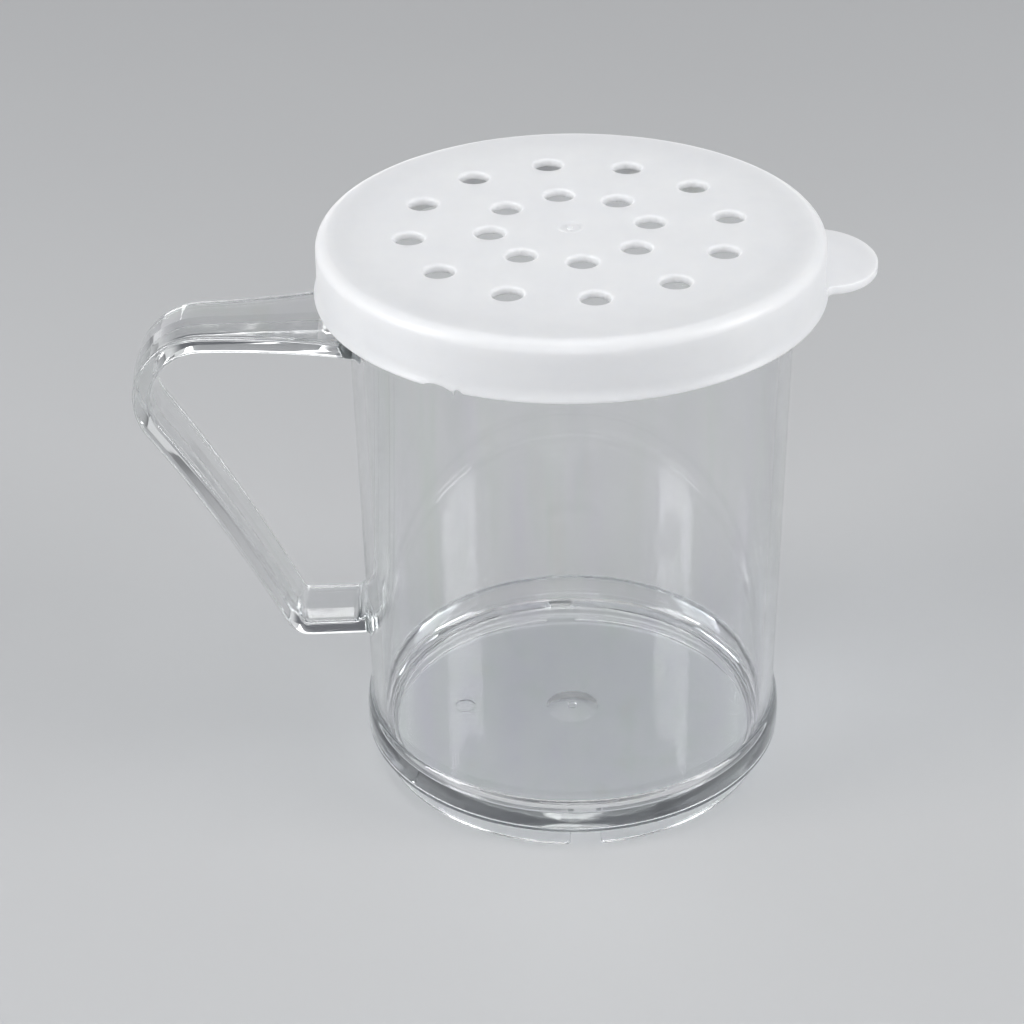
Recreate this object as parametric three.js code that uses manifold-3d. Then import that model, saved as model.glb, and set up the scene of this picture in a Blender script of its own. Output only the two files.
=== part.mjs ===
// Clear shaker jar with a side handle and a white sifting lid that snaps over its rim.
//
// Millimetres, +Z up. The handle points along -X and the lid's lifting tab along +X.
// The jar stands on its foot ring at z = 0, centred on the box that holds the whole object.
//
// jar   one clear moulding: tapered cup, foot ring with drain notches, rim and strap handle
// lid   one milky moulding: plate with sifting holes, rounded shoulder, skirt and lifting tab

import * as THREE from 'three';
import { mergeVertices } from 'three/addons/utils/BufferGeometryUtils.js';
import Module from 'manifold-3d';

const wasm = await Module();
wasm.setup();

const degree = Math.PI / 180;
const quarter = 90 * degree;

// Whole object
const totalHeight = 95;
const seatGap = 0.3; // least gap between the jar and the lid
const cutOverrun = 3; // how far a cutting shape reaches past the face that it cuts
const mergeDistance = 0.0001;

// Cup
const cupTopRadius = 35.2; // outside, just under the rim
const cupTaper = 0.8; // narrowing from there down to the top of the foot's shoulder
const wallThickness = 2;
const floorThickness = 2.4;
const floorCornerRadius = 2.6;
const mouthEdgeRadius = 0.5;

// Rim that the lid snaps over
const rimOverhang = 2.55; // how far the rim stands out past the wall
const rimThickness = 2.5;
const rimEdgeRadius = 0.5;
const rimRootFillet = 0.8;

// Foot
const footRecessDepth = 3.4; // from the surface that the jar stands on up to the floor
const footRingInset = 1; // from the cup's wall in to the outside of the ring
const footRingWidth = 2.2;
const footRingDraft = 0.25; // narrowing of each side of the ring towards its edge
const footEdgeRadius = 0.5;
const footFlangeOverhang = 1; // how far the flange stands out past the wall
const footFlangeBase = 4.2;
const footFlangeHeight = 2.2;
const footShoulderHeight = 3.9;
const notchWidth = 5;
const notchHeight = 3.2;
const notchCornerRadius = 0.9;

// Marks that the mould leaves in the floor
const gateWellRadius = 4.6;
const gateWellDepth = 0.9;
const gateNubRadius = 0.8; // stub of the cut gate, in the middle of its well
const gateNubHeight = 0.55;
const ejectorMarkRadius = 1.75;
const ejectorMarkDepth = 0.25;
const ejectorMarkPlace = 18.6; // from the axis of the cup, towards the handle

// Handle: a strap that leaves level under the rim and comes back level near the foot
const gripReach = 34.2; // from the wall at the rim to the long edges of the outermost face
const gripDrop = 9.4; // from the rim down to the upper face of the upper run, at its edges
const gripBottom = 24.8; // height of the lower face of the lower run, at its edges
const gripThickness = 2.9; // at the two long edges
const gripCrownAngle = 3 * degree; // each face rises from its edges to a ridge in the middle
const gripEdgeRadius = 0.7;
const gripWidth = 13.4; // along the upper bend
const gripFootWidth = 11.6; // where the lower run meets the cup
const gripUpperBend = 9.9; // radii of the two bends, along the middle of the strap
const gripLowerBend = 2.9;
const gripLowerBendPlace = 9.5; // from the wall near the foot to the centre of the lower bend
const gripBowAtTop = 4.67 * degree; // the back run bows towards the cup: how far its two ends
const gripBowAtFoot = 3.83 * degree; // turn away from the straight line that joins the bends
const gripFlareRadius = 84; // the upper run widens towards the rim along this arc
const gripFlareStart = 24.8; // from the wall at the rim
const gripUpperRootFillet = 0.9; // below the upper run, where it meets the cup
const gripLowerRootFillet = 2.6; // above the lower run, where it meets the cup
const gripRootSideFillet = 0.9;

// Lid
const skirtHeight = 9.5;
const skirtThickness = 1.5; // at the shoulder
const skirtDraft = 0.1; // narrowing of the skirt's outside from its lip to its shoulder
const skirtInsideDraft = 0.5; // narrowing of its inside from the lower edge to the plate
const skirtLipOverhang = 0.5; // the skirt flares out to a thin lip at its lower edge
const skirtLipHeight = 2.4;
const skirtEdgeRadius = 0.3;
const plateThickness = 1.3;
const shoulderRadius = 1.9;
const plateCornerRadius = 0.7; // inside, between the plate and the skirt
const snapBeadHeight = 1.6;
const snapBeadDepth = 0.3;
const lidTurn = 4.6 * degree; // how far the lid is turned on the jar

// Sifting holes
const holeDiameter = 4.8;
const holeEdgeRadius = 0.4;
const outerHoleCount = 12;
const outerHoleRingShare = 0.632; // of the skirt's radius, out to the middle of each hole
const innerHoleCount = 8;
const innerHoleRingShare = 0.3165;

// Lifting tab
const tabOverhang = 8.65; // from the skirt's lip out to the tip
const tabWidth = 22;
const tabThickness = 1.45;
const tabRise = 0.1; // from the skirt's lower edge up to the tab
const tabRootFillet = 1.2;
const tabEdgeRadius = 0.35;

// Fineness of the facets
const roundSides = 64;
const holeSides = 18;
const markSides = 24;
const arcSteps = 3;
const lipSteps = 2;
const wideArcSteps = 5;
const flareSteps = 8;
const bendSteps = 12;

// Solid from a closed three.js geometry, with its faces turned outwards
function solidFrom(geometry) {
  geometry.deleteAttribute('normal');
  geometry.deleteAttribute('uv');
  const merged = mergeVertices(geometry, mergeDistance);
  const places = merged.attributes.position;
  const [a, b, c] = [new THREE.Vector3(), new THREE.Vector3(), new THREE.Vector3()];
  const faces = [];
  let volume = 0;
  for (let i = 0; i < merged.index.count; i += 3) {
    const [p, q, r] = [0, 1, 2].map((corner) => merged.index.getX(i + corner));
    if (p !== q && q !== r && r !== p) {
      faces.push([p, q, r]);
      a.fromBufferAttribute(places, p);
      b.fromBufferAttribute(places, q);
      c.fromBufferAttribute(places, r);
      volume += a.dot(b.cross(c));
    }
  }
  if (volume < 0) faces.forEach((face) => face.reverse());
  return new wasm.Manifold(new wasm.Mesh({
    numProp: 3,
    vertProperties: new Float32Array(places.array),
    triVerts: new Uint32Array(faces.flat()),
  }));
}

// three.js geometry from a solid
function geometryFrom(solid) {
  const mesh = solid.getMesh();
  const geometry = new THREE.BufferGeometry();
  geometry.setAttribute('position', new THREE.BufferAttribute(mesh.vertProperties, mesh.numProp));
  geometry.setIndex(new THREE.BufferAttribute(mesh.triVerts, 1));
  geometry.computeVertexNormals();
  return geometry;
}

// Points [radius, height] of an arc about a centre, from one angle to another
function arc(centreRadius, centreHeight, radius, from, to, steps = arcSteps) {
  return Array.from({ length: steps + 1 }, (_, i) => {
    const angle = from + ((to - from) * i) / steps;
    return [centreRadius + radius * Math.cos(angle), centreHeight + radius * Math.sin(angle)];
  });
}

// Solid of revolution about Z from points [radius, height] that start and end on the axis
function revolve(profile, sides = roundSides) {
  const points = profile.map(([radius, height]) => new THREE.Vector2(radius, height));
  return solidFrom(new THREE.LatheGeometry(points, sides).rotateX(quarter));
}

// Closed outline from points [x, y], with points that fall together taken once
function outlineFrom(points) {
  const apart = ([x, y], [u, v]) => Math.hypot(x - u, y - v) > mergeDistance;
  const kept = points.filter((point, i) => apart(point, points.at(i - 1)));
  return new THREE.Shape(kept.map(([x, y]) => new THREE.Vector2(x, y)));
}

// Bar along Y, centred on the axis, whose section is an outline of points [x, z]
function prism(points, length) {
  const bar = new THREE.ExtrudeGeometry(outlineFrom(points), { depth: length, bevelEnabled: false });
  return solidFrom(bar.translate(0, 0, -length / 2).rotateX(quarter));
}

// How far a fillet stands out at some distance from the wall that it runs into
function filletRise(radius, distance) {
  const inward = Math.min(Math.max(radius - distance, 0), radius);
  return radius - Math.sqrt(radius ** 2 - inward ** 2);
}

// Heights and radii that features share
const jarHeight = totalHeight - plateThickness - seatGap;
const floorTop = footRecessDepth + floorThickness;
const flangeTop = footFlangeBase + footFlangeHeight;
const shoulderTop = flangeTop + footShoulderHeight;
const rimBase = jarHeight - rimThickness;
const cupFootRadius = cupTopRadius - cupTaper;
const footRingRadius = cupFootRadius - footRingInset;
const footFlangeRadius = cupFootRadius + footFlangeOverhang;
const rimRadius = cupTopRadius + rimOverhang;
const lidInsideTop = rimRadius + seatGap;
const skirtRadius = lidInsideTop + skirtThickness + skirtDraft; // just above its lip
const lipRadius = skirtRadius + skirtLipOverhang;

// Outside radius of the tapered cup at a height
function cupRadius(height) {
  const share = (height - shoulderTop) / (rimBase - shoulderTop);
  return cupFootRadius + cupTaper * share;
}

// Outside of the cup with its recessed foot, as one turned profile. The gate's well under the floor
// is a shallow dome, and the shoulder above the foot flange is a quarter of an ellipse.
function cupBody() {
  const wellCurve = (gateWellRadius ** 2 + gateWellDepth ** 2) / (2 * gateWellDepth);
  const wellAngle = Math.asin(gateWellRadius / wellCurve);
  const wellCentre = footRecessDepth + gateWellDepth - wellCurve;
  const ringInside = footRingRadius - footRingWidth;
  const shoulder = Array.from({ length: wideArcSteps }, (_, i) => {
    const angle = (quarter * (i + 1)) / wideArcSteps;
    return [
      cupFootRadius + footFlangeOverhang * Math.cos(angle),
      flangeTop + footShoulderHeight * Math.sin(angle),
    ];
  });
  return revolve([
    ...arc(0, wellCentre, wellCurve, quarter, quarter - wellAngle),
    ...arc(ringInside - footEdgeRadius, footRecessDepth - footEdgeRadius, footEdgeRadius, quarter, 0),
    ...arc(ringInside + footRingDraft + footEdgeRadius, footEdgeRadius, footEdgeRadius,
      2 * quarter, 3 * quarter),
    ...arc(footRingRadius - footRingDraft - footEdgeRadius, footEdgeRadius, footEdgeRadius,
      -quarter, 0),
    [footRingRadius, footFlangeBase],
    ...arc(footFlangeRadius - footEdgeRadius, footFlangeBase + footEdgeRadius, footEdgeRadius,
      -quarter, 0),
    [footFlangeRadius, flangeTop],
    ...shoulder,
    ...arc(cupRadius(rimBase) + rimRootFillet, rimBase - rimRootFillet, rimRootFillet,
      2 * quarter, quarter),
    ...arc(rimRadius - rimEdgeRadius, rimBase + rimEdgeRadius, rimEdgeRadius, -quarter, 0),
    ...arc(rimRadius - rimEdgeRadius, jarHeight - rimEdgeRadius, rimEdgeRadius, 0, quarter),
    [0, jarHeight],
  ]);
}

// Inside of the cup: flat floor, rounded corner, tapered wall and softened mouth
function cupHollow() {
  const cornerTop = floorTop + floorCornerRadius;
  const mouthBase = jarHeight - mouthEdgeRadius;
  const mouthRadius = cupRadius(mouthBase) - wallThickness + mouthEdgeRadius;
  return revolve([
    [0, floorTop],
    ...arc(cupRadius(cornerTop) - wallThickness - floorCornerRadius, cornerTop, floorCornerRadius,
      -quarter, 0, wideArcSteps),
    ...arc(mouthRadius, mouthBase, mouthEdgeRadius, 2 * quarter, quarter),
    [mouthRadius, jarHeight + cutOverrun],
    [0, jarHeight + cutOverrun],
  ]);
}

// Bar that cuts the two drain notches through the foot ring. It runs along Y, and widens at the
// ring's edge so that the corners there come out rounded.
function notchBar() {
  const side = notchWidth / 2;
  const corner = notchCornerRadius;
  const half = [
    ...arc(side + corner, corner, corner, -quarter, -2 * quarter),
    ...arc(side - corner, notchHeight - corner, corner, 0, quarter),
  ];
  const otherHalf = half.map(([x, y]) => [-x, y]).reverse();
  return prism([
    [side + corner, -cutOverrun],
    ...half,
    ...otherHalf,
    [-side - corner, -cutOverrun],
  ], 2 * (footFlangeRadius + cutOverrun));
}

// Stub of the gate. It hangs from the top of its well and is rounded at its lower edge.
function gateNub() {
  const wellTop = footRecessDepth + gateWellDepth;
  const foot = wellTop - gateNubHeight;
  const edge = gateNubRadius / 2;
  return revolve([
    [0, foot],
    ...arc(gateNubRadius - edge, foot + edge, edge, -quarter, 0),
    [gateNubRadius, wellTop + floorThickness / 4],
    [0, wellTop + floorThickness / 4],
  ], holeSides);
}

// Flat round mark that an ejector pin leaves in the floor
function ejectorMark() {
  const height = ejectorMarkDepth + cutOverrun;
  const pin = new THREE.CylinderGeometry(ejectorMarkRadius, ejectorMarkRadius, height, markSides);
  pin.rotateX(quarter).translate(-ejectorMarkPlace, 0, floorTop - ejectorMarkDepth + height / 2);
  return solidFrom(pin);
}

// Middle line of the strap in the handle's plane: x is the distance from the cup's axis, y the
// height. Level run, upper bend, back run that bows slightly towards the cup, lower bend, level run.
function gripRuns() {
  const upper = new THREE.Vector2(
    cupTopRadius + gripReach - gripThickness / 2 - gripUpperBend,
    rimBase - gripDrop - gripThickness / 2 - gripUpperBend,
  );
  const lower = new THREE.Vector2(
    cupFootRadius + gripLowerBendPlace,
    gripBottom + gripThickness / 2 + gripLowerBend,
  );
  const apart = upper.clone().sub(lower);
  const straightLean = Math.atan2(apart.x, apart.y)
    + Math.asin((gripUpperBend - gripLowerBend) / apart.length());
  const leanAtTop = straightLean + gripBowAtTop;
  const leanAtFoot = straightLean - gripBowAtFoot;
  const onBend = (centre, radius, angle) => new THREE.Vector2(
    centre.x + radius * Math.cos(angle),
    centre.y + radius * Math.sin(angle),
  );
  const backTop = onBend(upper, gripUpperBend, -leanAtTop);
  const backFoot = onBend(lower, gripLowerBend, -leanAtFoot);
  const rise = backTop.clone().sub(backFoot);
  const pull = (rise.x * Math.cos(leanAtTop) - rise.y * Math.sin(leanAtTop))
    / Math.sin(leanAtFoot - leanAtTop);
  const bow = new THREE.Vector2(Math.sin(leanAtFoot), Math.cos(leanAtFoot))
    .multiplyScalar(pull)
    .add(backFoot);
  const rootPlace = cupFootRadius - 2 * wallThickness;
  const upperRoot = new THREE.Vector2(rootPlace, upper.y + gripUpperBend);
  const lowerRoot = new THREE.Vector2(rootPlace, lower.y - gripLowerBend);
  const bend = (centre, radius, from, to) => (
    new THREE.EllipseCurve(centre.x, centre.y, radius, radius, from, to, true));
  return {
    upperRun: new THREE.LineCurve(upperRoot, onBend(upper, gripUpperBend, quarter)),
    upperBend: bend(upper, gripUpperBend, quarter, -leanAtTop),
    backRun: new THREE.QuadraticBezierCurve(backTop, bow, backFoot),
    lowerBend: bend(lower, gripLowerBend, -leanAtFoot, -quarter),
    lowerRun: new THREE.LineCurve(onBend(lower, gripLowerBend, -quarter), lowerRoot),
  };
}

// Outline of the strap across its width, as points [across, outwards], outwards being away from
// the finger gap. A low ridge runs along the middle of both faces, and the long edges are rounded.
// The inner face stands further out by insideRise, which depends on the place across the width.
function gripSection(halfWidth, insideRise) {
  const crown = Math.tan(gripCrownAngle);
  const half = gripThickness / 2;
  const corner = gripEdgeRadius * (1 - Math.SQRT1_2);
  const outerEdge = [
    [halfWidth - gripEdgeRadius, half + gripEdgeRadius * crown],
    [halfWidth - corner, half - corner],
    [halfWidth, half - gripEdgeRadius],
  ];
  const innerEdge = outerEdge.map(([across, out]) => [across, -out - insideRise(across)]).reverse();
  const side = [...outerEdge, ...innerEdge];
  const otherSide = side.map(([across, out]) => [-across, out]).reverse();
  return [
    [0, half + halfWidth * crown],
    ...side,
    [0, -half - halfWidth * crown - insideRise(0)],
    ...otherSide,
  ];
}

// Strap handle, lofted through sections that stand square to its middle line
function handle() {
  const stations = [];
  const wallAt = (height, across) => Math.sqrt(cupRadius(height) ** 2 - across ** 2);
  const addStation = (curve, share, width, wallFillet = 0) => {
    const place = curve.getPoint(share);
    const ahead = curve.getTangent(share);
    const fromWall = (across) => place.x - wallAt(place.y, across);
    stations.push({
      place,
      outwards: new THREE.Vector2(-ahead.y, ahead.x),
      section: gripSection(
        width / 2 + filletRise(gripRootSideFillet, fromWall(width / 2)),
        (across) => filletRise(wallFillet, fromWall(across)),
      ),
    });
  };
  const shareAt = (curve, place) => (place - curve.v1.x) / (curve.v2.x - curve.v1.x);
  const rootPlaces = (height, width, fillet) => {
    const first = wallAt(height, width / 2);
    const reach = wallAt(height, 0) + fillet - first;
    return Array.from({ length: wideArcSteps + 1 }, (_, i) => (
      first + reach * (1 - Math.cos((quarter * i) / wideArcSteps))));
  };

  const { upperRun, upperBend, backRun, lowerBend, lowerRun } = gripRuns();
  const flareWidth = (place) => {
    const depth = Math.max(cupTopRadius + gripFlareStart - place, 0);
    return gripWidth + 2 * (gripFlareRadius - Math.sqrt(gripFlareRadius ** 2 - depth ** 2));
  };
  const rootWidth = flareWidth(cupTopRadius);
  const upperPlaces = [
    upperRun.v1.x,
    ...rootPlaces(upperRun.v1.y, rootWidth, gripUpperRootFillet),
  ];
  const lastRoot = upperPlaces[upperPlaces.length - 1];
  for (let i = 1; i < flareSteps; i += 1) {
    upperPlaces.push(lastRoot + ((upperRun.v2.x - lastRoot) * i) / flareSteps);
  }
  upperPlaces.forEach((place) => {
    addStation(upperRun, shareAt(upperRun, place), flareWidth(place), gripUpperRootFillet);
  });
  const bendWidth = flareWidth(upperRun.v2.x);
  for (let i = 0; i < bendSteps; i += 1) {
    addStation(upperBend, i / bendSteps, bendWidth);
  }
  for (let i = 0; i < flareSteps; i += 1) {
    const share = i / flareSteps;
    addStation(backRun, share, bendWidth + (gripFootWidth - bendWidth) * share);
  }
  for (let i = 0; i < wideArcSteps; i += 1) {
    addStation(lowerBend, i / wideArcSteps, gripFootWidth);
  }
  const lowerPlaces = [
    ...rootPlaces(lowerRun.v1.y, gripFootWidth, gripLowerRootFillet),
    lowerRun.v1.x,
  ].reverse();
  [...lowerPlaces, lowerRun.v2.x].forEach((place) => {
    addStation(lowerRun, shareAt(lowerRun, place), gripFootWidth, gripLowerRootFillet);
  });

  const vertices = stations.flatMap(({ place, outwards, section }) => (
    section.map(([across, out]) => [
      -place.x - outwards.x * out,
      across,
      place.y + outwards.y * out,
    ])));
  const ring = stations[0].section.length;
  const faces = [];
  for (let s = 1; s < stations.length; s += 1) {
    for (let i = 0; i < ring; i += 1) {
      const near = (s - 1) * ring;
      const next = (i + 1) % ring;
      faces.push([near + i, near + next, near + ring + i]);
      faces.push([near + next, near + ring + next, near + ring + i]);
    }
  }
  const last = (stations.length - 1) * ring;
  for (let i = 2; i < ring; i += 1) {
    faces.push([0, i, i - 1]);
    faces.push([last, last + i - 1, last + i]);
  }
  const geometry = new THREE.BufferGeometry();
  geometry.setAttribute('position', new THREE.Float32BufferAttribute(vertices.flat(), 3));
  geometry.setIndex(faces.flat());
  return solidFrom(geometry);
}

const jarSolid = cupBody()
  .add(gateNub())
  .add(handle())
  .subtract(cupHollow())
  .subtract(notchBar())
  .subtract(ejectorMark());

// Lid: outside without its hollow, standing on z = 0. The skirt's rounded lower edge runs without
// a crease into the hollow curve of the lip, and that into the skirt.
function lidCap() {
  const lipRise = skirtLipHeight - skirtEdgeRadius;
  const bothRadii = (skirtLipOverhang ** 2 + lipRise ** 2) / (2 * skirtLipOverhang);
  const lipAngle = Math.asin(lipRise / bothRadii);
  const lipCurve = bothRadii - skirtEdgeRadius;
  return revolve([
    [0, 0],
    ...arc(lipRadius - skirtEdgeRadius, skirtEdgeRadius, skirtEdgeRadius, -quarter, lipAngle),
    ...arc(skirtRadius + lipCurve, skirtLipHeight, lipCurve, 2 * quarter + lipAngle, 2 * quarter,
      lipSteps),
    ...arc(skirtRadius - skirtDraft - shoulderRadius, skirtHeight - shoulderRadius, shoulderRadius,
      0, quarter, wideArcSteps),
    [0, skirtHeight],
  ]);
}

// Hollow under the plate. The snap bead is a low swell on the skirt that sits just below the rim.
function lidHollow() {
  const ceiling = skirtHeight - plateThickness;
  const bottomRadius = lidInsideTop + skirtInsideDraft;
  const beadTop = ceiling - 2 * seatGap - rimThickness;
  const bead = Array.from({ length: arcSteps + 1 }, (_, i) => {
    const share = i / arcSteps;
    const height = beadTop - snapBeadHeight * (1 - share);
    const skirt = bottomRadius - (skirtInsideDraft * height) / ceiling;
    return [skirt - snapBeadDepth * Math.sin(2 * quarter * share), height];
  });
  return revolve([
    [0, -cutOverrun],
    [bottomRadius, -cutOverrun],
    [bottomRadius, 0],
    ...bead,
    ...arc(lidInsideTop - plateCornerRadius, ceiling - plateCornerRadius, plateCornerRadius,
      0, quarter),
    [0, ceiling],
  ]);
}

// Cutter for one sifting hole, flared at the top so that the hole's upper edge comes out rounded
function holeCutter() {
  const radius = holeDiameter / 2;
  const edge = holeEdgeRadius;
  return revolve([
    [0, skirtHeight - plateThickness - cutOverrun],
    [radius, skirtHeight - plateThickness - cutOverrun],
    ...arc(radius + edge, skirtHeight - edge, edge, 2 * quarter, quarter),
    [radius + edge, skirtHeight + cutOverrun],
    [0, skirtHeight + cutOverrun],
  ], holeSides);
}

// Flat tongue that grows out of the lip: half an ellipse, with a fillet on both sides of its root
function liftingTab() {
  const side = tabWidth / 2;
  const centre = side + tabRootFillet;
  const rootPlace = Math.sqrt((lipRadius + tabRootFillet) ** 2 - centre ** 2);
  const rootAngle = Math.atan2(centre, rootPlace);
  const tip = arc(0, 0, side, 0, quarter, flareSteps)
    .map(([x, y]) => [rootPlace + (x * (lipRadius + tabOverhang - rootPlace)) / side, y]);
  const half = [
    ...tip,
    ...arc(rootPlace, centre, tabRootFillet, -quarter, rootAngle - 2 * quarter),
    [rootPlace - 2 * skirtThickness, centre],
  ];
  const otherHalf = half.map(([x, y]) => [x, -y]).reverse();
  const tab = new THREE.ExtrudeGeometry(outlineFrom([...half, ...otherHalf]), {
    depth: tabThickness - 2 * tabEdgeRadius,
    bevelThickness: tabEdgeRadius,
    bevelSize: tabEdgeRadius,
    bevelOffset: -tabEdgeRadius,
    bevelSegments: 2,
  });
  return solidFrom(tab.translate(0, 0, tabRise + tabEdgeRadius));
}

let lidSolid = lidCap().add(liftingTab()).subtract(lidHollow());
const cutter = holeCutter();
const holeRings = [[outerHoleCount, outerHoleRingShare], [innerHoleCount, innerHoleRingShare]];
holeRings.forEach(([count, ringShare]) => {
  const ring = skirtRadius * ringShare;
  for (let i = 0; i < count; i += 1) {
    const angle = (4 * quarter * i) / count;
    lidSolid = lidSolid.subtract(
      cutter.translate(ring * Math.cos(angle), ring * Math.sin(angle), 0));
  }
});

// Assembly
const jar = new THREE.Mesh(geometryFrom(jarSolid), new THREE.MeshStandardMaterial({
  color: 0xe9eef0,
  roughness: 0.05,
  metalness: 0,
  transparent: true,
  opacity: 0.3,
}));
jar.name = 'jar';

const lid = new THREE.Mesh(geometryFrom(lidSolid), new THREE.MeshStandardMaterial({
  color: 0xf1f2f4,
  roughness: 0.45,
  metalness: 0,
}));
lid.name = 'lid';
lid.position.z = totalHeight - skirtHeight;
lid.rotation.z = lidTurn;

const spiceJar = new THREE.Group();
spiceJar.add(jar, lid);
const middle = new THREE.Box3().setFromObject(spiceJar, true).getCenter(new THREE.Vector3());
spiceJar.position.set(-middle.x, -middle.y, 0);

export default spiceJar;
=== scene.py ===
# Clear shaker jar with a strap side handle and a white sifting lid that snaps over its rim.
#
# Metres, +Z up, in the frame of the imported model: the jar stands at z = 0, its handle points
# along -X and the lid's lifting tab along +X. Sizes below are in millimetres where they are
# multiplied by millimetre.

import math

import bmesh
import bpy
from mathutils import Matrix, Vector


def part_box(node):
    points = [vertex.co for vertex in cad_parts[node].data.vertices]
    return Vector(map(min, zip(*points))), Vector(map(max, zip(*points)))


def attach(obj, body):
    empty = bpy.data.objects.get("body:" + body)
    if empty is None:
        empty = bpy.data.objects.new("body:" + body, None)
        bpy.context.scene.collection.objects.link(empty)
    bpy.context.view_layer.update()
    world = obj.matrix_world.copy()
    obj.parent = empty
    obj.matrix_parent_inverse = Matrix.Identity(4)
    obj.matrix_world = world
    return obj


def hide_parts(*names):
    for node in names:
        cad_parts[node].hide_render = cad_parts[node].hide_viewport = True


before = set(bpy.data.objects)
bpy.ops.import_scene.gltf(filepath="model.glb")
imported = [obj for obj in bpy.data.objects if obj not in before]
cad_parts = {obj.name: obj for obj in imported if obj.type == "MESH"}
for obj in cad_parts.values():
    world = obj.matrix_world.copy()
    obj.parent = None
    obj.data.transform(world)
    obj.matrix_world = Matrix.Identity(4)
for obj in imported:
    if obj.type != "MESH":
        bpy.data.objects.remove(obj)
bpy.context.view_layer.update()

scene = bpy.context.scene
scene.view_settings.view_transform = "Standard"
scene.cycles.max_bounces = 20
scene.cycles.transmission_bounces = 20
scene.cycles.glossy_bounces = 20

# Camera. It stands before the jar and looks down on the lid at about thirty degrees, with a
# long lens, as the photographer's does.
camera_data = bpy.data.cameras.new("camera")
camera_data.lens = 84.21
camera_data.clip_start = 0.01
camera_data.clip_end = 50
camera = bpy.data.objects.new("camera", camera_data)
scene.collection.objects.link(camera)
scene.camera = camera
ahead = Vector((0.03033, 0.85643, -0.51537)).normalized()
right = ahead.cross(Vector((0.03716, 0.51428, 0.85682))).normalized()
up = right.cross(ahead)
camera.matrix_world = Matrix.Translation((-0.011345, -0.339509, 0.248301)) @ Matrix(
    (right, up, -ahead)
).transposed().to_4x4()


# Clear jar. One injection moulding of polycarbonate: a cup with a little taper, a stepped foot
# with two drain notches, a flange round the mouth for the lid to snap over, and a strap handle
# with a low ridge along the middle of both faces, where the halves of the mould met.
millimetre = 0.001
quarter = math.pi / 2
whole_height = 95
seat_gap = 0.3
plate_thickness = 1.3
jar_height = whole_height - plate_thickness - seat_gap

cup_top_radius = 35.2
cup_foot_radius = 34.4
wall_thickness = 2
floor_corner_radius = 2.6
mouth_edge_radius = 0.5
rim_radius = 37.75
rim_thickness = 2.5
rim_edge_radius = 0.5
rim_root_fillet = 0.8
foot_recess_depth = 3.4
floor_thickness = 2.4
floor_top = foot_recess_depth + floor_thickness
foot_ring_radius = 33.4
foot_ring_width = 2.2
foot_ring_draft = 0.25
foot_edge_radius = 0.5
flange_radius = 35.4
flange_base = 4.2
flange_top = 6.4
shoulder_height = 3.9
shoulder_steps = 20
shoulder_top = flange_top + shoulder_height
rim_base = jar_height - rim_thickness
cup_sides = 256
cut_overrun = 2
merge_distance = 0.0005

gate_well_radius = 4.6
gate_well_depth = 0.9
gate_nub_radius = 0.8
gate_nub_height = 0.55
gate_nub_edge_radius = 0.2
ejector_mark_radius = 1.75
ejector_mark_depth = 0.25
ejector_mark_place = 18.6
ejector_pin_sides = 48
notch_width = 5
notch_height = 3.2
notch_corner_radius = 0.9

cup_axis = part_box("jar")[1].x / millimetre - rim_radius


def arc(centre_radius, centre_height, radius, start, end, steps=8):
    """Points (radius, height) of an arc from one angle to another."""
    angles = [start + (end - start) * i / steps for i in range(steps + 1)]
    return [
        (centre_radius + radius * math.cos(a), centre_height + radius * math.sin(a))
        for a in angles
    ]


def solid_mesh(name, points, faces):
    """Closed mesh from points in millimetres, with its faces pointing outwards."""
    mesh = bpy.data.meshes.new(name)
    mesh.from_pydata([[value * millimetre for value in point] for point in points], [], faces)
    work = bmesh.new()
    work.from_mesh(mesh)
    bmesh.ops.remove_doubles(work, verts=work.verts, dist=merge_distance * millimetre)
    bmesh.ops.recalc_face_normals(work, faces=work.faces)
    work.to_mesh(mesh)
    work.free()
    solid = bpy.data.objects.new(name, mesh)
    scene.collection.objects.link(solid)
    return solid


def turned(name, profile, sides):
    """Solid turned from points (radius, height) that start and end on the axis."""
    rings, points = [], []
    for radius, height in profile:
        count = 1 if radius < 1e-6 else sides
        rings.append(range(len(points), len(points) + count))
        for i in range(count):
            angle = 4 * quarter * i / count
            points.append((radius * math.cos(angle), radius * math.sin(angle), height))
    faces = []
    for low, high in zip(rings, rings[1:]):
        for i in range(sides):
            near, far = i, (i + 1) % sides
            corners = [
                low[near % len(low)],
                low[far % len(low)],
                high[far % len(high)],
                high[near % len(high)],
            ]
            corners = list(dict.fromkeys(corners))
            if len(corners) > 2:
                faces.append(corners)
    return solid_mesh(name, points, faces)


def lofted(name, rings):
    """Solid through rings of equally many points, closed at both ends."""
    size = len(rings[0])
    points = [point for ring in rings for point in ring]
    last = len(points) - size
    faces = [list(range(size)), list(range(last, last + size))]
    for start in range(0, last, size):
        for i in range(size):
            after = (i + 1) % size
            faces.append([start + i, start + after, start + size + after, start + size + i])
    return solid_mesh(name, points, faces)


def cup_radius(height):
    """Outer radius of the cup's tapered wall."""
    share = (height - shoulder_top) / (rim_base - shoulder_top)
    return cup_foot_radius + (cup_top_radius - cup_foot_radius) * share


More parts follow.
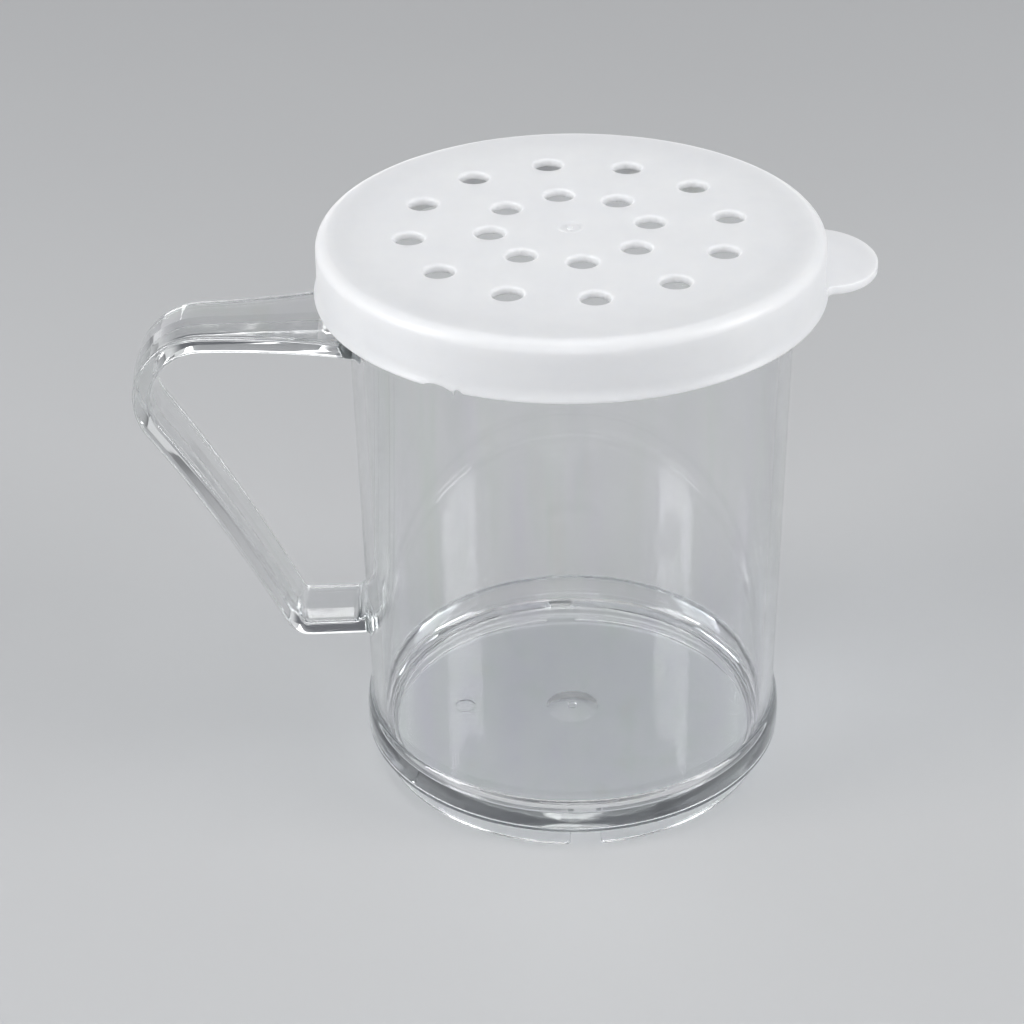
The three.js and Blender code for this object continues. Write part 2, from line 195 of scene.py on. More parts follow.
well_curve = (gate_well_radius**2 + gate_well_depth**2) / (2 * gate_well_depth)
well_centre = foot_recess_depth + gate_well_depth - well_curve
nub_foot = well_centre + math.sqrt(well_curve**2 - gate_nub_radius**2) - gate_nub_height
ring_inside = foot_ring_radius - foot_ring_width
well_angles = [
    quarter - math.asin(radius / well_curve) for radius in (gate_nub_radius, gate_well_radius)
]
corner_top = floor_top + floor_corner_radius
mouth_base = jar_height - mouth_edge_radius
mouth_radius = cup_radius(mouth_base) - wall_thickness + mouth_edge_radius
underside = [
    (0, nub_foot),
    *arc(
        gate_nub_radius - gate_nub_edge_radius, nub_foot + gate_nub_edge_radius,
        gate_nub_edge_radius, -quarter, 0,
    ),
    *arc(0, well_centre, well_curve, *well_angles, steps=16),
    *arc(
        ring_inside - foot_edge_radius, foot_recess_depth - foot_edge_radius, foot_edge_radius,
        quarter, 0,
    ),
    *arc(
        ring_inside + foot_ring_draft + foot_edge_radius, foot_edge_radius, foot_edge_radius,
        2 * quarter, 3 * quarter,
    ),
]
outside = [
    *arc(
        foot_ring_radius - foot_ring_draft - foot_edge_radius, foot_edge_radius,
        foot_edge_radius, -quarter, 0,
    ),
    (foot_ring_radius, flange_base),
    *arc(
        flange_radius - foot_edge_radius, flange_base + foot_edge_radius, foot_edge_radius,
        -quarter, 0,
    ),
    *[
        (
            cup_foot_radius + (flange_radius - cup_foot_radius) * reach,
            flange_top + shoulder_height * rise,
        )
        for reach, rise in arc(0, 0, 1, 0, quarter, steps=shoulder_steps)
    ],
    *arc(
        cup_radius(rim_base) + rim_root_fillet, rim_base - rim_root_fillet, rim_root_fillet,
        2 * quarter, quarter,
    ),
    *arc(rim_radius - rim_edge_radius, rim_base + rim_edge_radius, rim_edge_radius, -quarter, 0),
    *arc(rim_radius - rim_edge_radius, jar_height - rim_edge_radius, rim_edge_radius, 0, quarter),
]
inside = [
    (0, floor_top),
    *arc(
        cup_radius(corner_top) - wall_thickness - floor_corner_radius, corner_top,
        floor_corner_radius, -quarter, 0, steps=16,
    ),
    *arc(mouth_radius, mouth_base, mouth_edge_radius, 2 * quarter, quarter),
    (mouth_radius, jar_height + cut_overrun),
    (0, jar_height + cut_overrun),
]
jar = turned("clear_jar", underside + outside + [(0, jar_height)], cup_sides)
hollow = turned("hollow", inside, cup_sides)

# Strap handle: level run, round bend, back run that bows a little towards the cup, small
# bend, level run. Its sections stand square to its middle line.
grip_stand_off = 34.2
grip_foot_stand_off = 9.5
grip_below_rim = 9.4
grip_bottom = 24.8
grip_thickness = 2.9
grip_crown = math.radians(3)
grip_edge_radius = 0.7
grip_width = 13.4
grip_foot_width = 11.6
grip_upper_bend = 9.9
grip_lower_bend = 2.9
grip_bow_at_top = math.radians(4.67)
grip_bow_at_foot = math.radians(3.83)
grip_flare_radius = 84
grip_flare_length = 24.8
grip_upper_fillet = 0.9
grip_lower_fillet = 2.6
grip_side_fillet = 0.9
grip_root = cup_foot_radius - 2 * wall_thickness

upper_centre = Vector((
    cup_top_radius + grip_stand_off - grip_thickness / 2 - grip_upper_bend,
    rim_base - grip_below_rim - grip_thickness / 2 - grip_upper_bend,
))
lower_centre = Vector((
    cup_foot_radius + grip_foot_stand_off,
    grip_bottom + grip_thickness / 2 + grip_lower_bend,
))
apart = upper_centre - lower_centre
straight_lean = math.atan2(apart.x, apart.y) + math.asin(
    (grip_upper_bend - grip_lower_bend) / apart.length
)
lean_at_top = straight_lean + grip_bow_at_top
lean_at_foot = straight_lean - grip_bow_at_foot


def on_bend(centre, radius, angle):
    """Place on a bend of the strap's middle line."""
    return centre + radius * Vector((math.cos(angle), math.sin(angle)))


def fillet_rise(radius, distance):
    """How far a fillet stands out at some distance from the wall that it runs into."""
    inward = min(max(radius - distance, 0), radius)
    return radius - math.sqrt(radius**2 - inward**2)


def wall_at(height, across):
    """How far the cup's wall stands from its axis, beside the handle's plane."""
    return math.sqrt(cup_radius(height) ** 2 - across**2)


def grip_section(half_width, inside_rise):
    """Outline (across, outwards) of the strap: two low ridges and four rounded edges."""
    corner = half_width - grip_edge_radius
    level = grip_thickness / 2 - grip_edge_radius
    edge = arc(corner, level, grip_edge_radius, quarter - grip_crown, 0, steps=5)
    ridge = edge[0][1] + edge[0][0] * math.tan(grip_crown)
    face = [(edge[0][0] * share, ridge + (edge[0][1] - ridge) * share) for share in (0, 0.5)]
    outer = face + edge
    inner = [(across, -out - inside_rise(across)) for across, out in reversed(outer)]
    right_side = outer + inner
    left_side = [(-across, out) for across, out in reversed(right_side[1:-1])]
    return right_side + left_side


grip_stations = []


def add_station(place, along, width, wall_fillet=0.0):
    """Adds the strap's section at a place (outwards, height) of its middle line."""
    def from_wall(across):
        return place.x - wall_at(place.y, across)

    half_width = width / 2 + fillet_rise(grip_side_fillet, from_wall(width / 2))
    section = grip_section(
        half_width, lambda across: fillet_rise(wall_fillet, from_wall(across))
    )
    outwards = Vector((-along.y, along.x))
    grip_stations.append([
        (-place.x - outwards.x * out, across, place.y + outwards.y * out)
        for across, out in section
    ])


def root_places(height, width, fillet, steps=12):
    """Places along a level run, close together where its fillets run into the cup."""
    first = wall_at(height, width / 2)
    reach = wall_at(height, 0) + fillet - first
    return [first + reach * (1 - math.cos(quarter * i / steps)) for i in range(steps + 1)]


def flare_width(place):
    """Width of the upper run, which flares towards the cup."""
    depth = max(cup_top_radius + grip_flare_length - place, 0)
    return grip_width + 2 * (
        grip_flare_radius - math.sqrt(grip_flare_radius**2 - depth**2)
    )


upper_height = upper_centre.y + grip_upper_bend
lower_height = lower_centre.y - grip_lower_bend
root_width = flare_width(cup_top_radius)
upper_places = root_places(upper_height, root_width, grip_upper_fillet)
run_steps, bend_steps, back_steps, lower_steps = 14, 36, 24, 18
run_start = upper_places[-1]
upper_places += [
    run_start + (upper_centre.x - run_start) * i / run_steps for i in range(1, run_steps)
]
for place in [grip_root] + upper_places:
    add_station(
        Vector((place, upper_height)), Vector((1, 0)), flare_width(place), grip_upper_fillet
    )
bend_width = flare_width(upper_centre.x)
for i in range(bend_steps):
    angle = quarter - (quarter + lean_at_top) * i / bend_steps
    heading = Vector((math.sin(angle), -math.cos(angle)))
    add_station(on_bend(upper_centre, grip_upper_bend, angle), heading, bend_width)
back_top = on_bend(upper_centre, grip_upper_bend, -lean_at_top)
back_foot = on_bend(lower_centre, grip_lower_bend, -lean_at_foot)
rise = back_top - back_foot
pull = (rise.x * math.cos(lean_at_top) - rise.y * math.sin(lean_at_top)) / math.sin(
    lean_at_foot - lean_at_top
)
bow = back_foot + pull * Vector((math.sin(lean_at_foot), math.cos(lean_at_foot)))
for i in range(back_steps):
    t = i / back_steps
    place = (1 - t) ** 2 * back_top + 2 * t * (1 - t) * bow + t**2 * back_foot
    heading = ((1 - t) * (bow - back_top) + t * (back_foot - bow)).normalized()
    add_station(place, heading, bend_width + (grip_foot_width - bend_width) * t)
for i in range(lower_steps):
    angle = -lean_at_foot - (quarter - lean_at_foot) * i / lower_steps
    heading = Vector((math.sin(angle), -math.cos(angle)))
    add_station(on_bend(lower_centre, grip_lower_bend, angle), heading, grip_foot_width)
lower_places = [grip_root] + root_places(lower_height, grip_foot_width, grip_lower_fillet)
lower_places.append(lower_centre.x)
for place in reversed(lower_places):
    add_station(
        Vector((place, lower_height)), Vector((-1, 0)), grip_foot_width, grip_lower_fillet
    )
grip = lofted("grip", grip_stations)

notch_side = notch_width / 2
half_notch = arc(
    notch_side + notch_corner_radius, notch_corner_radius, notch_corner_radius,
    -quarter, -2 * quarter,
) + arc(
    notch_side - notch_corner_radius, notch_height - notch_corner_radius, notch_corner_radius,
    0, quarter,
)
other_half = [(-x, z) for x, z in reversed(half_notch)]
below = [(side * (notch_side + notch_corner_radius), -cut_overrun) for side in (-1, 1)]
notch_outline = half_notch + other_half + below
notch_reach = flange_radius + cut_overrun
notch_bar = lofted(
    "notch_bar", [[(x, y, z) for x, z in notch_outline] for y in (-notch_reach, notch_reach)]
)

ejector_pin = turned(
    "ejector_pin",
    [
        (0, -ejector_mark_depth),
        (ejector_mark_radius, -ejector_mark_depth),
        (ejector_mark_radius, cut_overrun),
        (0, cut_overrun),
    ],
    ejector_pin_sides,
)
ejector_pin.data.transform(
    Matrix.Translation(Vector((-ejector_mark_place, 0, floor_top)) * millimetre)
)


def cut_and_join(piece, steps):
    """Gives a piece one exact boolean for each (operation, other solid)."""
    for operation, other in steps:
        joint = piece.modifiers.new(operation.lower(), "BOOLEAN")
        joint.operation = operation
        joint.solver = "EXACT"
        joint.object = other


def bake(piece):
    """Makes what a piece's modifiers give its mesh."""
    graph = bpy.context.evaluated_depsgraph_get()
    mesh = bpy.data.meshes.new_from_object(
        piece.evaluated_get(graph), preserve_all_data_layers=True, depsgraph=graph
    )
    mesh.name = piece.name
    piece.modifiers.clear()
    old = piece.data
    piece.data = mesh
    bpy.data.meshes.remove(old)


sharp_angle = math.radians(28)
straight_angle = math.radians(3)


def settle(piece, turn=0.0, height=0.0, ridge=False):
    """Bakes a piece, smooths its faces and puts it in its place on the cup's axis."""
    bake(piece)
    work = bmesh.new()
    work.from_mesh(piece.data)
    bmesh.ops.dissolve_degenerate(work, dist=merge_distance * millimetre, edges=work.edges)
    # A point on a straight edge between two faces would leave slivers once they are triangles.
    spare = [
        v for v in work.verts
        if len(v.link_edges) == 2 and v.calc_edge_angle() < straight_angle
    ]
    bmesh.ops.dissolve_verts(work, verts=spare)
    for face in work.faces:
        face.smooth = True
    for edge in work.edges:
        sharp = len(edge.link_faces) == 2 and edge.calc_face_angle() > sharp_angle
        on_ridge = ridge and all(
            abs(v.co.y) < 0.01 * millimetre and v.co.x < -(cup_top_radius + 1) * millimetre
            for v in edge.verts
        )
        edge.smooth = not (sharp or on_ridge)
    work.to_mesh(piece.data)
    work.free()
    weighted = piece.modifiers.new("weighted", "WEIGHTED_NORMAL")
    weighted.mode = "FACE_AREA"
    weighted.weight = 80
    weighted.keep_sharp = True
    bake(piece)
    placing = Matrix.Translation((cup_axis * millimetre, 0, height * millimetre))
    piece.data.transform(placing @ Matrix.Rotation(turn, 4, "Z"))
    piece.data.update()


cut_and_join(jar, (
    ("UNION", grip), ("DIFFERENCE", hollow),
    ("DIFFERENCE", notch_bar), ("DIFFERENCE", ejector_pin),
))
settle(jar, ridge=True)
for tool in (grip, hollow, notch_bar, ejector_pin):
    bpy.data.objects.remove(tool)


def add_node(tree, kind, inputs=(), **settings):
    """New node with its settings, and its inputs as values or as sockets to link from."""
    node = tree.nodes.new(kind)
    for name, value in settings.items():
        setattr(node, name, value)
    for key, value in dict(inputs).items():
        if isinstance(value, bpy.types.NodeSocket):
            tree.links.new(value, node.inputs[key])
        else:
            node.inputs[key].default_value = value
    return node


def calculate(tree, operation, *values):
    """Result of a Math node for values or sockets."""
    node = add_node(tree, "ShaderNodeMath", enumerate(values), operation=operation)
    return node.outputs[0]


# Marks of use, shared by both plastics: soft smudges and a few curved hairline scratches.
marks = bpy.data.node_groups.new("handling_marks", "ShaderNodeTree")
marks.interface.new_socket("Vector", in_out="INPUT", socket_type="NodeSocketVector")
for name, value in (("Smudge Scale", 90.0), ("Scratch Scale", 160.0), ("Scratch Width", 0.004)):
    marks.interface.new_socket(
        name, in_out="INPUT", socket_type="NodeSocketFloat"
    ).default_value = value
for name in ("Smudges", "Scratches"):
    marks.interface.new_socket(name, in_out="OUTPUT", socket_type="NodeSocketFloat")
marks_in = marks.nodes.new("NodeGroupInput")
marks_out = marks.nodes.new("NodeGroupOutput")
smudge = add_node(marks, "ShaderNodeTexNoise", {
    "Vector": marks_in.outputs["Vector"], "Scale": marks_in.outputs["Smudge Scale"],
    "Detail": 3.0, "Roughness": 0.6, "Distortion": 0.8,
})
smudge_mask = add_node(marks, "ShaderNodeMapRange", {
    "Value": smudge.outputs["Fac"], "From Min": 0.47, "From Max": 0.72,
}, interpolation_type="SMOOTHSTEP")
marks.links.new(smudge_mask.outputs["Result"], marks_out.inputs["Smudges"])
hairline = add_node(marks, "ShaderNodeTexNoise", {
    "Vector": marks_in.outputs["Vector"], "Scale": marks_in.outputs["Scratch Scale"],
    "Detail": 0.0, "Distortion": 0.3,
})
off_line = calculate(marks, "SUBTRACT", hairline.outputs["Fac"], 0.5)
line_mask = add_node(marks, "ShaderNodeMapRange", {
    "Value": calculate(marks, "ABSOLUTE", off_line), "From Min": 0.0,
    "From Max": marks_in.outputs["Scratch Width"], "To Min": 1.0, "To Max": 0.0,
}, interpolation_type="SMOOTHSTEP")
scarce = add_node(marks, "ShaderNodeTexNoise", {
    "Vector": marks_in.outputs["Vector"], "Scale": marks_in.outputs["Smudge Scale"],
    "Detail": 1.0,
})
scarce_mask = add_node(marks, "ShaderNodeMapRange", {
    "Value": scarce.outputs["Fac"], "From Min": 0.52, "From Max": 0.66,
})
scratches = calculate(
    marks, "MULTIPLY", line_mask.outputs["Result"], scarce_mask.outputs["Result"]
)
marks.links.new(scratches, marks_out.inputs["Scratches"])

# The polycarbonate: clear, a little grey along its edges, with upright streaks of very faint
# violet and green from the stress that moulding leaves, and frosted where the gate and the
# ejector pin were. Lamps shine through it, and light caught in the wall leaks out.
frost_roughness = 0.14
frost_edge = (-0.25, 0.05)
frost_relief = 5.0
caught_depth = 12.5
relief_depth = 0.02
clear = bpy.data.materials.new("clear_polycarbonate")
clear.use_nodes = True
tree = clear.node_tree
tree.nodes.clear()
output = tree.nodes.new("ShaderNodeOutputMaterial")
place = tree.nodes.new("ShaderNodeTexCoord")
about_axis = add_node(tree, "ShaderNodeMapping", {
    "Vector": place.outputs["Object"], "Location": (-cup_axis * millimetre, 0, 0),
})
drawn_out = add_node(tree, "ShaderNodeMapping", {
    "Vector": about_axis.outputs["Vector"], "Scale": (1, 1, 0.12),
})
streaks = add_node(tree, "ShaderNodeTexNoise", {
    "Vector": drawn_out.outputs["Vector"], "Scale": 150.0, "Detail": 3.0, "Roughness": 0.55,
})
tints = add_node(tree, "ShaderNodeValToRGB", {"Fac": streaks.outputs["Fac"]})
ramp = tints.color_ramp
ramp.elements[0].position, ramp.elements[0].color = 0.30, (0.955, 0.937, 0.985, 1)
ramp.elements[1].position, ramp.elements[1].color = 0.72, (0.978, 0.965, 0.937, 1)
for at, tint in (
    (0.42, (0.975, 0.978, 0.985)),
    (0.55, (0.985, 0.988, 0.990)),
    (0.63, (0.946, 0.975, 0.950)),
):
    ramp.elements.new(at).color = (*tint, 1)
use = add_node(tree, "ShaderNodeGroup", node_tree=marks)
tree.links.new(about_axis.outputs["Vector"], use.inputs["Vector"])
haze = add_node(tree, "ShaderNodeMapRange", {
    "Value": use.outputs["Smudges"], "To Min": 0.018, "To Max": 0.06,
})
scuffed = calculate(
    tree, "MULTIPLY_ADD", use.outputs["Scratches"], 0.07, haze.outputs["Result"]
)
height_in_cup = add_node(tree, "ShaderNodeSeparateXYZ", {"Vector": about_axis.outputs["Vector"]})
mid_floor = (foot_recess_depth + gate_well_depth + floor_top - ejector_mark_depth) / 2


def disc_mask(centre_x, radius, under_floor):
    """1 within a radius of a place on the handle's plane, on one face of the floor."""
    flat = add_node(tree, "ShaderNodeMapping", {
        "Vector": about_axis.outputs["Vector"], "Location": (-centre_x * millimetre, 0, 0),
        "Scale": (1, 1, 0),
    })
    away = add_node(tree, "ShaderNodeVectorMath", {0: flat.outputs["Vector"]}, operation="LENGTH")
    inside = add_node(tree, "ShaderNodeMapRange", {
        "Value": away.outputs["Value"], "From Min": (radius + frost_edge[0]) * millimetre,
        "From Max": (radius + frost_edge[1]) * millimetre, "To Min": 1.0, "To Max": 0.0,
    })
    side = calculate(
        tree, "LESS_THAN" if under_floor else "GREATER_THAN",
        height_in_cup.outputs["Z"], mid_floor * millimetre,
    )
    return calculate(tree, "MULTIPLY", inside.outputs["Result"], side)


gate_mask = disc_mask(0, gate_well_radius, under_floor=True)
pin_mask = disc_mask(-ejector_mark_place, ejector_mark_radius, under_floor=False)
frosted = calculate(tree, "MAXIMUM", gate_mask, pin_mask)
frost = calculate(tree, "MULTIPLY", frosted, frost_roughness)
rough = calculate(tree, "MAXIMUM", frost, scuffed)
frost_grain = add_node(tree, "ShaderNodeTexNoise", {
    "Vector": about_axis.outputs["Vector"], "Scale": 2600.0, "Detail": 2.0,
})
frost_height = calculate(tree, "MULTIPLY", frosted, frost_grain.outputs["Fac"])
waves = add_node(tree, "ShaderNodeTexNoise", {
    "Vector": drawn_out.outputs["Vector"], "Scale": 260.0, "Detail": 2.0,
})
wave_height = calculate(
    tree, "MULTIPLY_ADD", use.outputs["Scratches"], -0.12, waves.outputs["Fac"]
)
relief = add_node(tree, "ShaderNodeBump", {
    "Height": calculate(tree, "MULTIPLY_ADD", frost_height, frost_relief, wave_height),
    "Strength": 0.35, "Distance": relief_depth * millimetre,
})
plastic = add_node(tree, "ShaderNodeBsdfPrincipled", {
    "Base Color": tints.outputs["Color"], "Roughness": rough,
    "Normal": relief.outputs["Normal"], "IOR": 1.585, "Transmission Weight": 1.0,
})
lets_through = add_node(tree, "ShaderNodeBsdfTransparent", {"Color": (0.86, 0.87, 0.88, 1)})
rays = tree.nodes.new("ShaderNodeLightPath")
caught = calculate(tree, "GREATER_THAN", rays.outputs["Ray Depth"], caught_depth)
lamp_or_caught = calculate(tree, "MAXIMUM", rays.outputs["Is Shadow Ray"], caught)
surface = add_node(tree, "ShaderNodeMixShader", {
    0: lamp_or_caught, 1: plastic.outputs["BSDF"], 2: lets_through.outputs["BSDF"],
})
tree.links.new(surface.outputs["Shader"], output.inputs["Surface"])
absorbs = add_node(tree, "ShaderNodeVolumeAbsorption", {
    "Color": (0.83, 0.84, 0.84, 1), "Density": 42.0,
})
tree.links.new(absorbs.outputs["Volume"], output.inputs["Volume"])

jar.data.materials.clear()
jar.data.materials.append(clear)
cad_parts["jar"].data.materials.clear()
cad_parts["jar"].data.materials.append(clear)
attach(jar, "jar")
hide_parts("jar")


# Sifting lid. One moulding of milky polyethylene, soft enough to stretch over the rim: a flat
# plate with two rings of holes, a rounded shoulder, a thin skirt that flares into a lip and has a
# snap bead inside, and a tab to lift it by. Its gate left a small dimple in the middle.
lid_inside = rim_radius + seat_gap
skirt_thickness = 1.5
skirt_draft = 0.1
skirt_inside_draft = 0.5
skirt_radius = lid_inside + skirt_thickness + skirt_draft
skirt_height = 9.5
lip_overhang = 0.5
lip_height = 2.4
lip_radius = skirt_radius + lip_overhang
skirt_edge_radius = 0.3
inner_edge_radius = 0.25
shoulder_radius = 1.9
plate_corner_radius = 0.7
bead_height = 1.6
bead_depth = 0.3
dimple_radius = 2.3
dimple_slope = 0.9
dimple_depth = 0.16
gate_mark_radius = 0.5
gate_mark_edge = 0.15
tab_overhang = 8.65
tab_width = 22
tab_thickness = 1.45
tab_rise = 0.1
tab_root_fillet = 1.2
tab_edge_radius = 0.35
lid_turn = math.radians(4.6)
lid_sides = 256
bead_steps, dimple_steps = 12, 8

ceiling = skirt_height - plate_thickness
bead_top = ceiling - 2 * seat_gap - rim_thickness
bead = []
for i in range(bead_steps + 1):
    level = bead_top - bead_height * (1 - i / bead_steps)
    swell = bead_depth * math.sin(math.pi * i / bead_steps)
    bead.append((lid_inside + skirt_inside_draft * (1 - level / ceiling) - swell, level))
lip_rise = lip_height - skirt_edge_radius
lip_and_edge = (lip_overhang**2 + lip_rise**2) / (2 * lip_overhang)
lip_angle = math.asin(lip_rise / lip_and_edge)
lip_curve = lip_and_edge - skirt_edge_radius
gate_mark_centre = skirt_height - dimple_depth + gate_mark_edge / 2
lid_profile = [
    (0, ceiling),
    *arc(
        lid_inside - plate_corner_radius, ceiling - plate_corner_radius,
        plate_corner_radius, quarter, 0,
    ),
    *reversed(bead),
    *arc(
        lid_inside + skirt_inside_draft + inner_edge_radius, inner_edge_radius,
        inner_edge_radius, 2 * quarter, 3 * quarter, steps=5,
    ),
    *arc(
        lip_radius - skirt_edge_radius, skirt_edge_radius, skirt_edge_radius,
        -quarter, lip_angle, steps=10,
    ),
    *arc(
        skirt_radius + lip_curve, lip_height, lip_curve,
        2 * quarter + lip_angle, 2 * quarter, steps=12,
    ),
    *arc(
        skirt_radius - skirt_draft - shoulder_radius, skirt_height - shoulder_radius,
        shoulder_radius, 0, quarter, steps=16,
    ),
]
for i in range(dimple_steps + 1):
    drop = dimple_depth * (1 - math.cos(math.pi * i / dimple_steps)) / 2
    lid_profile.append((dimple_radius - dimple_slope * i / dimple_steps, skirt_height - drop))
lid_profile += [
    *arc(
        gate_mark_radius - gate_mark_edge, gate_mark_centre, gate_mark_edge,
        -quarter / 3, quarter, steps=5,
    ),
    (0, gate_mark_centre + gate_mark_edge),
]
lid = turned("sifting_lid", lid_profile, lid_sides)

tab_side = tab_width / 2
fillet_centre = tab_side + tab_root_fillet
tab_root = math.sqrt((lip_radius + tab_root_fillet) ** 2 - fillet_centre**2)
root_angle = math.atan2(fillet_centre, tab_root)
tip = [
    (tab_root + x * (lip_radius + tab_overhang - tab_root) / tab_side, y)
    for x, y in arc(0, 0, tab_side, 0, quarter, steps=30)
]
half_tab = [
    *tip,
    *arc(tab_root, fillet_centre, tab_root_fillet, -quarter, root_angle - 2 * quarter)[1:],
    *arc(0, 0, lip_radius - skirt_thickness / 2, root_angle, 0, steps=12),
]
tab_outline = half_tab + [(x, -y) for x, y in reversed(half_tab[1:-1])]
tab = lofted(
    "tab", [[(x, y, z) for x, y in tab_outline] for z in (tab_rise, tab_rise + tab_thickness)]
)
rounding = tab.modifiers.new("rounding", "BEVEL")
rounding.width = tab_edge_radius * millimetre
rounding.segments = 5
rounding.limit_method = "ANGLE"
rounding.angle_limit = math.radians(60)

# The lip is nicked in front, as (degrees about the axis, height missing from its lower edge),
# and a spike of flash was left standing in the nick.
nick_outline = (
    (228.8, -0.05), (229.6, 0.26), (230.5, 0.52), (232.2, 0.69), (233.9, 0.64), (235.0, 0.45),
    (236.2, 0.16), (236.8, 0.16), (237.2, 0.57), (237.8, 0.55), (238.5, 0.38), (239.2, -0.05),
)
nick_reach = lip_radius + cut_overrun
nick_rings = []
for degrees, missing in nick_outline:
    turn = math.radians(degrees)
    nick_rings.append([
        (radius * math.cos(turn), radius * math.sin(turn), height)
        for radius, height in (
            (lid_inside, -cut_overrun), (nick_reach, -cut_overrun),
            (nick_reach, missing), (lid_inside, missing),
        )
    ])
nick = lofted("nick", nick_rings)

spike_turn = math.radians(236.5)
spike_inset = 0.35
spike_sides = 12
spike = turned(
    "spike", [(0, -0.6), (0.08, -0.55), (0.2, 0), (0.24, 0.5), (0, 0.5)], spike_sides
)
spike.data.transform(
    Matrix.Rotation(spike_turn, 4, "Z")
    @ Matrix.Translation(((lip_radius - spike_inset) * millimetre, 0, 0))
)
cut_and_join(lid, (("UNION", tab), ("DIFFERENCE", nick), ("UNION", spike)))

# The sifting holes: two rings of equal cutters, flared at the top so that each hole's upper
# edge comes out rounded.
hole_radius = 2.4
hole_edge_radius = 0.4
hole_sides = 48
outer_ring_share = 0.632
inner_ring_share = 0.3165
hole_cutter = turned(
    "hole_cutter",
    [
        (0, ceiling - cut_overrun),
        (hole_radius, ceiling - cut_overrun),
        *arc(
            hole_radius + hole_edge_radius, skirt_height - hole_edge_radius, hole_edge_radius,
            2 * quarter, quarter, steps=7,
        ),
        (hole_radius + hole_edge_radius, skirt_height + cut_overrun),
        (0, skirt_height + cut_overrun),
    ],
    hole_sides,
)

sifter = bpy.data.node_groups.new("sifting_holes", "GeometryNodeTree")
sifter.interface.new_socket("Plate", in_out="INPUT", socket_type="NodeSocketGeometry")
sifter.interface.new_socket("Plate", in_out="OUTPUT", socket_type="NodeSocketGeometry")
sifter.interface.new_socket("Cutter", in_out="INPUT", socket_type="NodeSocketObject")
sifter.interface.new_socket("Material", in_out="INPUT", socket_type="NodeSocketMaterial")
for name in ("Outer Count", "Inner Count"):
    sifter.interface.new_socket(name, in_out="INPUT", socket_type="NodeSocketInt")
for name in ("Outer Radius", "Inner Radius"):
    sifter.interface.new_socket(name, in_out="INPUT", socket_type="NodeSocketFloat")
sifter_in = sifter.nodes.new("NodeGroupInput")
sifter_out = sifter.nodes.new("NodeGroupOutput")
cutter_info = add_node(sifter, "GeometryNodeObjectInfo", {"Object": sifter_in.outputs["Cutter"]})
rings = add_node(sifter, "GeometryNodeJoinGeometry")
for name in ("Outer", "Inner"):
    ring = add_node(sifter, "GeometryNodeMeshCircle", {
        "Vertices": sifter_in.outputs[name + " Count"],
        "Radius": sifter_in.outputs[name + " Radius"],
    })
    placed = add_node(sifter, "GeometryNodeInstanceOnPoints", {
        "Points": ring.outputs["Mesh"], "Instance": cutter_info.outputs["Geometry"],
    })
    sifter.links.new(placed.outputs["Instances"], rings.inputs[0])
cutters = add_node(sifter, "GeometryNodeRealizeInstances", {"Geometry": rings.outputs[0]})
pierced = add_node(sifter, "GeometryNodeMeshBoolean", operation="DIFFERENCE", solver="EXACT")
sifter.links.new(sifter_in.outputs["Plate"], pierced.inputs["Mesh 1"])
sifter.links.new(cutters.outputs[0], pierced.inputs["Mesh 2"])
plain_mesh = add_node(sifter, "GeometryNodeRealizeInstances", {"Geometry": pierced.outputs[0]})
finished = add_node(sifter, "GeometryNodeSetMaterial", {
    "Geometry": plain_mesh.outputs[0], "Material": sifter_in.outputs["Material"],
})
sifter.links.new(finished.outputs[0], sifter_out.inputs["Plate"])

# The polyethylene: light goes a few millimetres into it, so thin edges and the tab glow, with a
# satin skin, a fine mottle, and the turning lines of the mould round the skirt.
milky = bpy.data.materials.new("milky_polyethylene")
milky.use_nodes = True
tree = milky.node_tree
tree.nodes.clear()
output = tree.nodes.new("ShaderNodeOutputMaterial")
place = tree.nodes.new("ShaderNodeTexCoord")
about_axis = add_node(tree, "ShaderNodeMapping", {
    "Vector": place.outputs["Object"], "Location": (-cup_axis * millimetre, 0, 0),
})
clouds = add_node(tree, "ShaderNodeTexNoise", {
    "Vector": about_axis.outputs["Vector"], "Scale": 55.0, "Detail": 4.0, "Roughness": 0.6,
})
cloud_tints = add_node(tree, "ShaderNodeValToRGB", {"Fac": clouds.outputs["Fac"]})
cloud_tints.color_ramp.elements[0].position = 0.3
cloud_tints.color_ramp.elements[0].color = (0.83, 0.832, 0.86, 1)
cloud_tints.color_ramp.elements[1].position = 0.7
cloud_tints.color_ramp.elements[1].color = (0.89, 0.89, 0.90, 1)
use = add_node(tree, "ShaderNodeGroup", node_tree=marks)
use.inputs["Smudge Scale"].default_value = 130.0
use.inputs["Scratch Scale"].default_value = 240.0
tree.links.new(about_axis.outputs["Vector"], use.inputs["Vector"])
satin = add_node(tree, "ShaderNodeMapRange", {
    "Value": use.outputs["Smudges"], "To Min": 0.36, "To Max": 0.47,
})
skin = add_node(tree, "ShaderNodeTexNoise", {
    "Vector": about_axis.outputs["Vector"], "Scale": 1100.0, "Detail": 2.0, "Roughness": 0.5,
})
ringed = add_node(tree, "ShaderNodeMapping", {
    "Vector": about_axis.outputs["Vector"], "Scale": (0.06, 0.06, 1),
})
turning = add_node(tree, "ShaderNodeTexNoise", {
    "Vector": ringed.outputs["Vector"], "Scale": 1900.0, "Detail": 1.0,
})
skin_height = calculate(
    tree, "MULTIPLY_ADD", turning.outputs["Fac"], 0.8, skin.outputs["Fac"]
)
relief = add_node(tree, "ShaderNodeBump", {
    "Height": calculate(tree, "MULTIPLY_ADD", use.outputs["Scratches"], -0.5, skin_height),
    "Strength": 0.4, "Distance": relief_depth * millimetre,
})
